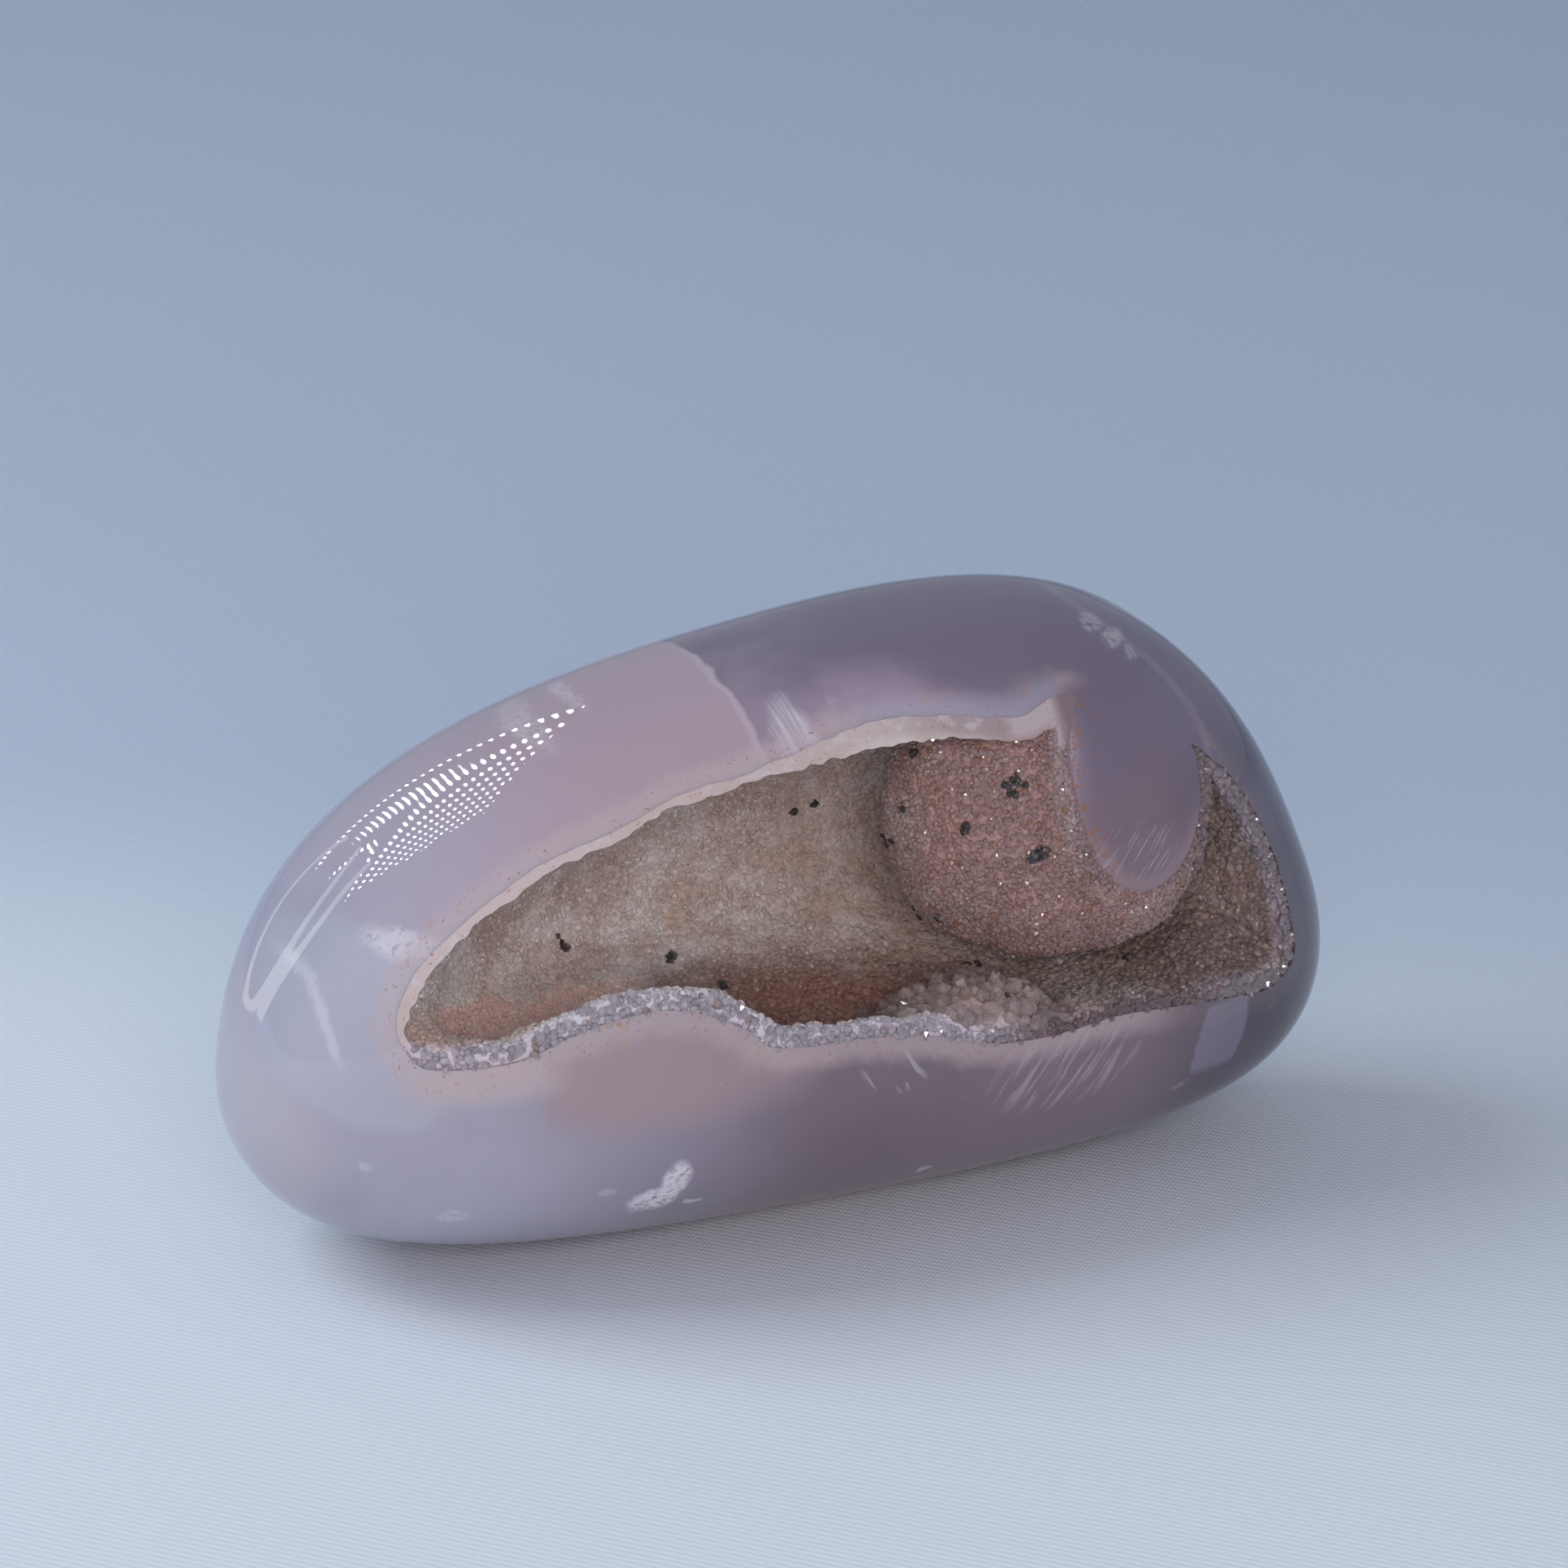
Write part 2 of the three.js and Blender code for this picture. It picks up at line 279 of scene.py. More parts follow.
def ellipsoid(at, size, subdivisions, roughness=None):
    bpy.ops.mesh.primitive_ico_sphere_add(subdivisions=subdivisions, radius=1)
    made = bpy.context.object
    unit = np.array([v.co for v in made.data.vertices])
    unit /= np.linalg.norm(unit, axis=1)[:, None]
    faces = np.array([p.vertices[:] for p in made.data.polygons])
    bpy.data.objects.remove(made)
    points = unit * size + at
    if roughness:
        normals = unit / size
        normals /= np.linalg.norm(normals, axis=1)[:, None]
        points = points + normals * lumps(points, roughness)[:, None]
    return points, faces


def ellipsoidReach(places, at, size):
    return np.linalg.norm((places - np.array(at)) / np.array(size), axis=1)


def pieceFrom(name, points, faces):
    mesh = bpy.data.meshes.new(name)
    mesh.from_pydata(points.tolist(), [], faces.tolist() if hasattr(faces, "tolist") else faces)
    mesh.update()
    piece = bpy.data.objects.new(name, mesh)
    bpy.context.scene.collection.objects.link(piece)
    return piece


def carve(piece, other, operation):
    # a boolean join or cut, applied at once
    change = piece.modifiers.new("carve", "BOOLEAN")
    change.operation = operation
    change.solver = "MANIFOLD"
    change.object = other
    scene = bpy.context.evaluated_depsgraph_get()
    made = bpy.data.meshes.new_from_object(piece.evaluated_get(scene))
    piece.modifiers.clear()
    piece.data = made
    bpy.data.objects.remove(other)
    return piece


def pointsOf(piece):
    flat = np.zeros(len(piece.data.vertices) * 3)
    piece.data.vertices.foreach_get("co", flat)
    return flat.reshape(-1, 3)


def trianglesOf(piece):
    piece.data.calc_loop_triangles()
    flat = np.zeros(len(piece.data.loop_triangles) * 3, int)
    piece.data.loop_triangles.foreach_get("vertices", flat)
    return flat.reshape(-1, 3)


def keepLargest(piece):
    # drops the crumbs that a cut can leave
    points, faces = pointsOf(piece), trianglesOf(piece)
    label = np.arange(len(points))
    while True:
        low = label[faces].min(1)
        fresh = label.copy()
        for k in range(3):
            np.minimum.at(fresh, faces[:, k], low)
        fresh = fresh[fresh]
        if (fresh == label).all():
            break
        label = fresh
    main = np.bincount(label).argmax()
    kept = faces[label[faces[:, 0]] == main]
    used, numbered = np.unique(kept, return_inverse=True)
    mesh = bpy.data.meshes.new(piece.name)
    mesh.from_pydata(points[used].tolist(), [], numbered.reshape(-1, 3).tolist())
    mesh.update()
    piece.data = mesh
    return piece


def note(piece, name, values):
    # a value for each corner point, which the piece's material reads
    attribute = piece.data.attributes.new(name, "FLOAT", "POINT")
    attribute.data.foreach_set("value", np.asarray(values, np.float32))


def settle(piece, material, smoothAngle=None):
    piece.data.transform(Matrix.Scale(mm, 4))
    piece.data.update()
    if smoothAngle is not None:
        piece.data.shade_smooth()
        piece.data.set_sharp_from_angle(angle=math.radians(smoothAngle))
    piece.data.materials.clear()
    piece.data.materials.append(material)
    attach(piece, "root")


# Materials

class Wire:
    # a socket that takes part in sums
    def __init__(self, paint, socket):
        self.paint = paint
        self.socket = socket

    def maths(self, operation, *values):
        return self.paint.node("ShaderNodeMath", {"operation": operation}, dict(enumerate(values)))

    def __add__(self, other):
        return self.maths("ADD", self, other)

    def __radd__(self, other):
        return self.maths("ADD", other, self)

    def __sub__(self, other):
        return self.maths("SUBTRACT", self, other)

    def __rsub__(self, other):
        return self.maths("SUBTRACT", other, self)

    def __mul__(self, other):
        return self.maths("MULTIPLY", self, other)

    def __rmul__(self, other):
        return self.maths("MULTIPLY", other, self)

    def __abs__(self):
        return self.maths("ABSOLUTE", self)

    def atLeast(self, other):
        return self.maths("MAXIMUM", self, other)

    def sine(self):
        return self.maths("SINE", self)


class Paint:
    def __init__(self, name):
        self.material = bpy.data.materials.new(name)
        self.material.use_nodes = True
        self.tree = self.material.node_tree
        self.tree.nodes.clear()

    def node(self, kind, settings=None, values=None, output=0):
        made = self.tree.nodes.new(kind)
        for key, value in (settings or {}).items():
            setattr(made, key, value)
        for key, value in (values or {}).items():
            if isinstance(value, Wire):
                self.tree.links.new(value.socket, made.inputs[key])
            else:
                made.inputs[key].default_value = value
        return None if output is None else Wire(self, made.outputs[output])

    def place(self):
        # where a point of the object is, in millimetres
        return self.scaled(self.node("ShaderNodeTexCoord", output="Object"), 1 / mm)

    def vectors(self, operation, first, second):
        return self.node("ShaderNodeVectorMath", {"operation": operation}, {0: first, 1: second})

    def scaled(self, vector, factor):
        return self.node("ShaderNodeVectorMath", {"operation": "SCALE"}, {0: vector, "Scale": factor})

    def measured(self, operation, first, second=(0, 0, 0)):
        # one number out of vectors
        return self.node("ShaderNodeVectorMath", {"operation": operation}, {0: first, 1: second}, "Value")

    def split(self, vector):
        made = self.node("ShaderNodeSeparateXYZ", {}, {0: vector}).socket.node
        return [Wire(self, output) for output in made.outputs]

    def noise(self, vector, size, detail=2.0, roughness=0.5, output=0):
        values = {"Vector": vector, "Scale": 1 / size, "Detail": detail, "Roughness": roughness}
        return self.node("ShaderNodeTexNoise", {}, values, output)

    def shifted(self, vector, size, amount, detail=2.0):
        # the place moved about by noise, for edges that wander
        cloud = self.noise(vector, size, detail, output=1)
        centred = self.vectors("SUBTRACT", cloud, (0.5,) * 3)
        return self.vectors("ADD", vector, self.scaled(centred, 2 * amount))

    def join(self, x, y, z):
        return self.node("ShaderNodeCombineXYZ", {}, {0: x, 1: y, 2: z})

    def streaks(self, x, z, angle, wide, long, detail=2.0):
        # noise drawn out along a direction in the XZ plane
        turn = math.radians(angle)
        along = x * math.cos(turn) + z * math.sin(turn)
        across = z * math.cos(turn) - x * math.sin(turn)
        return self.noise(self.join(along * (wide / long), across, 0.0), wide, detail, 0.55)

    def rise(self, value, low, high):
        # 0 below low and 1 above high, with a smooth step between
        values = {0: value, 1: low, 2: high}
        return self.node("ShaderNodeMapRange", {"interpolation_type": "SMOOTHSTEP"}, values)

    def fall(self, value, low, high):
        return 1 - self.rise(value, low, high)

    def mix(self, share, first, second):
        def colour(value):
            return value if isinstance(value, Wire) else (*value, 1)

        values = {0: share, 6: colour(first), 7: colour(second)}
        return self.node("ShaderNodeMix", {"data_type": "RGBA"}, values, 2)

    def spot(self, vector, centre, size, soft=0.3):
        # 1 inside a rounded patch with a half size along each axis, fading at its edge
        away = self.vectors("DIVIDE", self.vectors("SUBTRACT", vector, centre), size)
        return self.fall(self.measured("LENGTH", away), 1 - soft, 1 + soft)

    def attribute(self, name):
        return self.node("ShaderNodeAttribute", {"attribute_name": name}, output="Fac")

    def bump(self, height, distance, strength=1.0, normal=None):
        values = {"Height": height, "Distance": distance * mm, "Strength": strength}
        if normal is not None:
            values["Normal"] = normal
        return self.node("ShaderNodeBump", {}, values, "Normal")

    def finish(self, values):
        shader = self.node("ShaderNodeBsdfPrincipled", {}, values)
        self.node("ShaderNodeOutputMaterial", {}, {"Surface": shader}, None)
        return self.material


# The polished agate

agateLook = {
    "lilac": (0.39, 0.38, 0.47),
    "lilacDeep": (0.32, 0.295, 0.38),
    # painted light: a paler colour for the tip of the low end, standing in for light that shines through it
    "paintedEndGlow": (0.46, 0.43, 0.50),
    "milky": (0.43, 0.33, 0.385),
    "milkyBlue": (0.42, 0.38, 0.47),
    "mauve": (0.18, 0.145, 0.205),
    "mauvePale": (0.37, 0.29, 0.37),
    "mauveDeep": (0.07, 0.06, 0.085),
    "slate": (0.20, 0.20, 0.29),
    "lowMauve": (0.185, 0.135, 0.165),
    "lowMauvePale": (0.22, 0.165, 0.20),
    "peach": (0.38, 0.285, 0.295),
    "cream": (0.52, 0.43, 0.44),
    "blueLavender": (0.44, 0.44, 0.53),
    "paleBlue": (0.34, 0.34, 0.46),
    "white": (0.76, 0.74, 0.80),
    "rust": (0.36, 0.15, 0.07),
    "stain": (0.50, 0.27, 0.16),
    "boundary": -4.5,  # where the milky and the dark part meet above the mouth, as X
    "ridge": 30.0,  # the pale line at the taller end, as X
}


def agateBody(paint, place, clouds):
    # the broad colours, from the lilac low end to the dark mauve tall end
    look = agateLook
    x, _, z = paint.split(place)
    looseX, _, looseZ = paint.split(paint.shifted(place, 9, 2.2, 3))
    towardsTall = paint.rise(looseX + (looseZ - 12) * 0.2, -29, 2)
    colour = paint.mix(towardsTall, look["lilac"], look["lowMauve"])
    colour = paint.mix(paint.rise(clouds, 0.42, 0.68) * (0.6 - towardsTall * 0.5), colour, look["lilacDeep"])
    # painted light: the low end is paler towards its tip, standing in for light that passes through and
    # scatters at the thin end
    colour = paint.mix(paint.fall(looseX, -40, -35), colour, look["paintedEndGlow"])
    colour = paint.mix(paint.rise(looseX, 3, 13), colour, look["lowMauvePale"])
    colour = paint.mix(paint.rise(looseX, 23, 34) * 0.85, colour, look["mauveDeep"])

    # above the mouth: milky on the left, dark mauve on the right, with a sharp border
    above = paint.rise(looseZ + looseX * -0.12, 29, 34)
    wobble = (paint.noise(place, 3.0, 2) - 0.5) * 1.2
    border = x - (look["boundary"] + (41.5 - z) * (41.5 - z) * 0.03) + wobble
    beyond = paint.rise(border, -0.3, 0.3)
    milk = paint.mix(paint.rise(looseX, -33, -15), look["milkyBlue"], look["milky"])
    colour = paint.mix(above * (1 - beyond), colour, milk)
    lower = paint.fall(looseZ + abs(looseX - 3) * 0.16, 40.4, 44.0)
    lower = lower * (1 - paint.rise(x, 16, 20) * 0.9)
    dusk = paint.mix(lower, look["mauve"], look["mauvePale"])
    colour = paint.mix(above * beyond, colour, dusk)
    tallEnd = paint.rise(looseX + (looseZ - 34) * 0.4, 24, 30) * paint.rise(z, 24, 30)
    colour = paint.mix(tallEnd * 0.4, colour, look["slate"])
    return colour, border


def agateVeils(paint, place, colour, border):
    # what lies just under the polish: pale lenses, feathers, blotches and lines
    look = agateLook
    x, y, z = paint.split(place)
    loose = paint.shifted(place, 9, 1.6, 3)
    tight = paint.shifted(place, 1.6, 0.5, 4)
    fine = paint.noise(place, 1.2, 4, 0.65)
    grit = paint.noise(place, 0.45, 3, 0.7)

    # the blue lens at the low end, with a pale line across it
    lens = paint.spot(loose, (-33.5, -9, 21.5), (6.0, 15, 6.6), 0.12)
    colour = paint.mix(lens * 0.85, colour, look["blueLavender"])
    line = abs(x + 36.2 - (23.5 - z) * (23.5 - z) * 0.03 + (fine - 0.5) * 0.8)
    crossing = paint.fall(line, 0.05, 0.5) * paint.spot(place, (-36.2, -7, 22.5), (3, 9, 3.0), 0.3)
    colour = paint.mix(crossing * 0.35, colour, look["white"])
    peach = paint.spot(loose, (-15.0, -17, 18.6), (10.5, 8, 4.0), 0.5)
    peach = peach * paint.rise(x + (fine - 0.5), -23.4, -22.6)
    colour = paint.mix(peach * 0.85, colour, look["peach"])
    creamy = paint.spot(loose, (-27.0, -16, 19.0), (4.8, 8, 1.7), 0.5)
    colour = paint.mix(creamy * 0.7, colour, look["cream"])

    lightLow = paint.spot(loose, (23.5, -16, 28.6), (5.0, 5, 3.8), 0.4)
    colour = paint.mix(lightLow * 0.3, colour, look["lowMauvePale"])

    # blotches: place, half size, softness, strength
    blotches = (
        ((-30.6, -11, 27.9), (2.6, 5, 0.9), 0.4, 0.55),
        ((-27.9, -10, 27.5), (1.6, 5, 1.2), 0.5, 0.45),
        ((-14.3, -15, 7.6), (1.7, 4, 1.2), 0.3, 0.95),
        ((-13.0, -16, 9.6), (1.0, 4, 1.7), 0.3, 0.9),
        ((-10.9, -15, 6.6), (0.8, 4, 0.35), 0.3, 0.5),
        ((-17.9, -15, 9.2), (0.6, 4, 0.4), 0.4, 0.3),
        ((8.2, -12, 4.9), (0.7, 3, 0.45), 0.25, 0.55),
        ((-28.5, -13, 8.0), (1.0, 4, 0.5), 0.5, 0.3),
        ((-34.5, -10, 12.5), (0.5, 4, 0.5), 0.4, 0.4),
        ((23.5, -7, 43.0), (0.9, 4, 0.35), 0.4, 0.3),
        ((24.6, -7, 42.1), (1.0, 4, 0.4), 0.4, 0.35),
        ((25.4, -8, 41.2), (0.5, 4, 0.35), 0.4, 0.25),
        ((-17.4, 2, 38.2), (1.8, 6, 0.5), 0.5, 0.3),
        ((-13.6, 4, 39.3), (0.7, 5, 0.4), 0.5, 0.35),
        ((28.6, -8, 8.2), (1.2, 4, 0.5), 0.4, 0.3),
        ((1.5, -9, 41.0), (0.4, 4, 0.3), 0.4, 0.2),
        ((14.0, 17, 30.0), (2.6, 5, 1.3), 0.4, 0.35),
        ((-22.0, 15, 14.0), (1.8, 5, 1.1), 0.4, 0.4),
        ((4.0, 18, 11.0), (1.2, 5, 0.6), 0.4, 0.35),
    )
    broken = paint.rise(grit + fine * 0.5, 0.55, 0.8)
    for centre, size, soft, strength in blotches:
        patch = paint.spot(tight, centre, size, soft) * strength
        colour = paint.mix(patch * broken, colour, look["white"])

    # slanted feathers under the lower rim and on the back, scratches on the tongue, and a fan of
    # feathers at the crack over the mouth: angle, width, length and detail, patch, range, strength
    feathers = (
        ((66, 0.7, 6.0, 4.0), ((17.2, -16, 13.4), (5.6, 5, 3.6), 0.35), (0.47, 0.64), 0.28),
        ((-58, 0.8, 6.0, 2.0), ((3.0, -18, 16.2), (2.6, 5, 1.8), 0.3), (0.55, 0.62), 0.32),
        ((47, 0.16, 4.0, 3.0), ((22.2, -16, 28.8), (3.6, 5, 2.4), 0.4), (0.56, 0.68), 0.4),
        ((66, 0.7, 6.0, 4.0), ((-9, 18, 20), (7, 8, 5), 0.4), (0.46, 0.64), 0.22),
    )
    for shape, patch, (low, high), strength in feathers:
        streak = paint.spot(tight, *patch) * paint.rise(paint.streaks(x, z, *shape), low, high)
        colour = paint.mix(streak * strength, colour, look["white"])
    fan = paint.streaks(x, z, 100, 0.35, 4.0, 3.0)
    crack = paint.spot(tight, (-1.9, -10, 38.9), (1.5, 6, 2.4), 0.3)
    crack = crack * (0.4 + paint.rise(fan, 0.4, 0.65) * 0.6)
    colour = paint.mix(crack * 0.6, colour, look["white"])
    blade = abs(x - 31.5 + (11.6 - z) * 0.05) + abs(z - 12.0) * 0.12
    pane = paint.fall(blade + (fine - 0.5) * 0.8, 2.2, 2.7) * paint.rise(z, 8.5, 9.6)
    pane = pane * paint.fall(z, 14.8, 15.6) * paint.fall(y, -6, -4)
    colour = paint.mix(pane * 0.42, colour, look["paleBlue"])

    # faint bands on the unseen back
    back = paint.rise(y, 2, 8)
    bandPlace = paint.split(paint.shifted(place, 14, 3.0, 2))
    turns = bandPlace[2] * 1.5 + bandPlace[0] * 0.35 + (bandPlace[0] + 8) * (bandPlace[0] + 8) * 0.012
    colour = paint.mix(paint.rise(turns.sine(), -0.4, 1) * back * 0.16, colour, look["paleBlue"])

    # the milky part's own pale edge, and the pale line at the tall end
    seam = paint.spot(place, (-4.6, -8, 40.4), (2.0, 12, 3.0), 0.3)
    seam = seam * paint.fall(abs(border + 0.35), 0.1, 0.5)
    colour = paint.mix(seam * 0.14, colour, look["white"])
    ridgeLine = abs(x + (z - 33.8) * (z - 33.8) * 0.07 - look["ridge"] + (fine - 0.5) * 0.6)
    ridge = paint.fall(ridgeLine, 0.1, 0.6) * paint.rise(z, 31, 34)
    return paint.mix(ridge * 0.22, colour, look["milky"])


def upperShare(paint, x, z):
    # the same border as in upperLip, for the materials
    away = x - hollow["lipMiddle"]
    low, high = (hollow["lipHeight"] + side * hollow["lipSoft"] for side in (-1, 1))
    return paint.rise(z + away * away * hollow["lipBend"], low, high)


def agatePaint():
    look = agateLook
    paint = Paint("polishedAgate")
    place = paint.place()
    x, _, z = paint.split(place)
    rim = paint.attribute("rimDistance")
    clouds = paint.noise(place, 11, 4, 0.55)
    fine = paint.noise(place, 1.6, 4, 0.6)
    colour, border = agateBody(paint, place, clouds)
    colour = agateVeils(paint, place, colour, border)

    # the lip over the mouth: peach and cream on the left, pale blue over the lobe
    onLobe = paint.spot(place, (21.6, -17, 31), (9.5, 12, 11.5), 0.1)
    upper = upperShare(paint, x, z)
    roof = upper * paint.rise(x, 0.5, 5) * paint.fall(x, 17.4, 18.8) * paint.rise(z, 35.5, 36.5)
    near = paint.fall(rim + (fine - 0.5) * 1.6, 0.7, 2.6)
    colour = paint.mix(near * roof * 0.4, colour, look["blueLavender"])
    plain = near * (1 - onLobe) * (1 - roof) * (1 - paint.rise(x, 22, 28) * 0.85)
    colour = paint.mix(plain * 0.6, colour, look["cream"])
    tongueEdge = onLobe * paint.fall(rim + (fine - 0.5) * 0.6, 0.2, 1.3) * paint.fall(z, 29, 33)
    colour = paint.mix(tongueEdge * 0.4, colour, look["peach"])

    # rust in small specks near the mouth, thick at the tongue's side
    specks = paint.noise(place, 0.3, 2, 0.5)
    stains = paint.noise(place, 1.4, 3, 0.6)
    close = paint.fall(rim, 0.9, 2.4)
    tongueSide = paint.spot(place, (19.2, -16, 34), (1.9, 6, 7.5), 0.25) * paint.fall(rim, 0.3, 1.5)
    speck = paint.rise(specks + tongueSide * 0.09 + stains * 0.1, 0.7, 0.74)
    speck = speck * (close * 0.8).atLeast(tongueSide)
    colour = paint.mix(speck * 0.85, colour, look["rust"])
    stained = paint.rise(stains, 0.6, 0.72) * paint.fall(rim, 1.2, 3.2) * (1 - onLobe) * 0.35
    colour = paint.mix(stained, colour, look["stain"])

    # dust-like flecks through the stone
    flecks = paint.noise(place, 0.22, 2, 0.5)
    colour = paint.mix(paint.rise(flecks, 0.75, 0.8) * 0.35, colour, look["white"])

    worn = paint.noise(paint.shifted(place, 4, 1.0), 0.35, 3, 0.7)
    polish = 0.012 + paint.rise(worn, 0.55, 0.8) * 0.03 + clouds * 0.012
    return paint.finish({
        "Base Color": colour,
        "Roughness": polish,
        "IOR": 1.54,
        "Subsurface Weight": 0.3,
        "Subsurface Radius": (1.0, 0.72, 0.62),
        "Subsurface Scale": 0.002,
    })


def skinSurface():
    unit, faces = ellipsoid((0, 0, 0), (1, 1, 1), pebble["subdivisions"])
    points = skinPoints(unit)
    points[:, 2] = np.maximum(points[:, 2], 0)  # the small flat spot it rests on
    return points, faces


def lobeCores(piece, grow, operation):
    for lobe in lobes:
        size = tuple(r + grow for r in lobe["core"])
        carve(piece, pieceFrom("core", *ellipsoid(lobe["at"], size, 6)), operation)
    return piece


def rimLineOf(points, faces):
    # where the polished face ends at the hollow: corners of both a polished and a hidden face
    polished = (abs(skinMargin(points)) < 0.001)[faces].all(1) | (points[faces][:, :, 2] < 0.001).all(1)
    line = np.intersect1d(faces[polished], faces[~polished])
    tree = KDTree(len(line))
    for k, corner in enumerate(line):
        tree.insert(points[corner], k)
    tree.balance()
    return tree


def rimDistances(points, rimLine):
    return np.array([rimLine.find(p)[2] for p in points])


def agateStone():
    stone = pieceFrom("agateStone", *skinSurface())
    space = pieceFrom("space", *hollowSurface(0, 40))
    lobeCores(space, 0, "DIFFERENCE")
    carve(stone, space, "DIFFERENCE")
    keepLargest(stone)
    points = pointsOf(stone)
    rimLine = rimLineOf(points, trianglesOf(stone))
    note(stone, "rimDistance", rimDistances(points, rimLine))
    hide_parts("agate_stone")
    settle(stone, agatePaint(), 28)
    return rimLine


rimLine = agateStone()
print("agate stone carved")


# The crust of quartz on the walls and round the lobe

crustLook = {
    "lap": 0.08,  # how far it reaches into the agate
    "thickness": 1.5,
    "thinner": 1.0,  # how much thinner it is along the left part of the upper lip
    "recess": 0.012,  # how far its cut edge lies under the polish, as a share
    "flush": 0.0003,  # the same along the upper lip
    "overLobe": ((21.6, -17.0, 31.0), (9.0, 12.0, 8.0)),  # place and half size: sunk here again
    "lumps": ((5.0, 0.3), (1.0, 0.24)),  # size and height of the swells
    "coatLumps": ((3.5, 0.35), (1.2, 0.12)),
    "cream": (0.57, 0.46, 0.42),
    "creamLight": (0.70, 0.68, 0.66),
    "ochre": (0.60, 0.42, 0.30),
    "brown": (0.30, 0.19, 0.16),
    "tallBrown": (0.24, 0.17, 0.155),
    # the next two are dark browns for the cavity floor: partly brown crust, partly painted shade
    "tallDeepShade": (0.12, 0.075, 0.07),
    "brownDeepAndShade": (0.31, 0.14, 0.11),
    "pocket": (0.80, 0.56, 0.50),
    "pink": (0.37, 0.215, 0.195),
    "flank": (0.64, 0.245, 0.185),  # the side of the lobe towards the low end
    "lip": (0.53, 0.43, 0.42),
    "lipCream": (0.36, 0.285, 0.30),
    "white": (0.70, 0.67, 0.77),
    "lipWhite": (0.62, 0.57, 0.62),
    "lowBrown": (0.32, 0.24, 0.25),  # the lower rim's taller end
    "lipMauve": (0.20, 0.145, 0.175),
    "rust": (0.40, 0.17, 0.08),
}


def lobeShare(paint, place):
    return paint.spot(place, (18.6, -9.0, 31), (11.2, 10.0, 12.5), 0.12)


def crustColour(paint, place):
    # cream walls, pink round the lobe; browner and darker low down, behind the rim and under the tall end of
    # the lobe, which is partly brown crust and partly painted shade
    look = crustLook
    x, _, z = paint.split(paint.shifted(place, 3, 0.7, 3))
    clouds = paint.noise(place, 6, 4, 0.6)
    stains = paint.noise(place, 2.4, 3, 0.55)
    grains = paint.noise(place, 0.5, 3, 0.6)
    colour = paint.mix(paint.rise(clouds, 0.4, 0.64), look["cream"], look["creamLight"])
    colour = paint.mix(paint.rise(stains, 0.58, 0.72) * 0.35, colour, look["ochre"])
    colour = paint.mix(paint.rise(x, -8, 2) * 0.2, colour, look["brown"])
    colour = paint.mix(paint.rise(x, 20, 30) * 0.85, colour, look["tallBrown"])
    # partly brown crust, partly painted shade: the floor is browner low down
    foot = z + (x - 2).atLeast(0) * 0.12
    low = paint.fall(foot, 18.5, 19.9) * paint.rise(x, -12, -8) * (1 - paint.rise(x, 16, 24) * 0.85)
    colour = paint.mix(low * 0.85, colour, look["brown"])
    pocket = paint.fall(z - (-20 - x).atLeast(0) * 0.27, 18.9, 19.5) * paint.fall(x, -13, -9)
    colour = paint.mix(pocket * 0.9, colour, look["pocket"])
    # partly brown crust, partly painted shade: darker brown behind the lower rim, where the floor drops away
    brownShadeBehindRim = paint.fall(foot, 17.6, 18.8) * paint.rise(x, -8, -3)
    brownShadeBehindRim = brownShadeBehindRim * (1 - paint.rise(x, 8, 14) * 0.6)
    colour = paint.mix(brownShadeBehindRim * 0.85, colour, look["brownDeepAndShade"])
    # painted shade: nearly black low down under the lobe at the tall end, with some brown
    tallLowShade = paint.fall(z, 17, 23) * paint.rise(x, 14, 21)
    colour = paint.mix(tallLowShade * 0.5, colour, look["tallDeepShade"])
    lobe = lobeShare(paint, place)
    colour = paint.mix(lobe * 0.9, colour, look["pink"])
    colour = paint.mix(lobe * paint.fall(x, 6.5, 10.5) * 0.8, colour, look["flank"])
    rusty = paint.rise(grains, 0.58, 0.7) * (0.06 + lobe * 0.5)
    return paint.mix(rusty, colour, look["rust"]), grains, lobe


def lowerDusk(paint, x):
    # how much darker the lower rim is towards the taller end
    return paint.rise(x, 9, 16) * (1 - paint.rise(x, 27, 31) * 0.5) * 0.9


def edgeColour(paint, place, colour, lobe):
    # the cut edge of the crust: like the agate along the upper lip, white along the lower rim
    look = crustLook
    x, _, z = paint.split(place)
    rim = paint.attribute("rimDistance")
    fine = paint.noise(place, 1.2, 4, 0.65)
    upper = upperShare(paint, x, z) * paint.fall(x, 25, 29)
    lip = paint.mix(paint.rise(x, 2, 11), look["lip"], look["lipCream"])
    milky = paint.rise(x + fine * 2, 13.5, 15) * paint.fall(x, 16.8, 18.2) * 0.6
    lip = paint.mix(milky.atLeast(paint.rise(fine, 0.52, 0.62) * 0.5), lip, look["lipWhite"])
    lip = paint.mix(paint.rise(x, 16.9, 18.2) * 0.9, lip, look["lipMauve"])
    lower = paint.mix(lowerDusk(paint, x), look["white"], look["lowBrown"])
    edge = paint.mix(upper, lower, lip)
    share = paint.fall(rim, 1.0, 2.2) * (1 - lobe * (1 - upper))
    colour = paint.mix(share * 0.85, colour, edge)
    specks = paint.noise(place, 0.3, 2, 0.5)
    return paint.mix(paint.rise(specks, 0.65, 0.7) * share * 0.7, colour, look["rust"])


def crustPaint():
    paint = Paint("druseBed")
    place = paint.place()
    colour, grains, lobe = crustColour(paint, place)
    colour = edgeColour(paint, place, colour, lobe)
    cut = paint.attribute("cut")
    sugar = paint.node("ShaderNodeTexVoronoi", {"feature": "F1"}, {"Vector": place, "Scale": 2.6})
    rough = paint.bump((1 - sugar) * (1 - cut), 0.2, 0.7, paint.bump(grains, 0.06, 0.4))
    return paint.finish({
        "Base Color": colour,
        "Roughness": (0.34 + grains * 0.3) * (1 - cut * 0.8),
        "Normal": rough,
        "IOR": 1.54,
    })


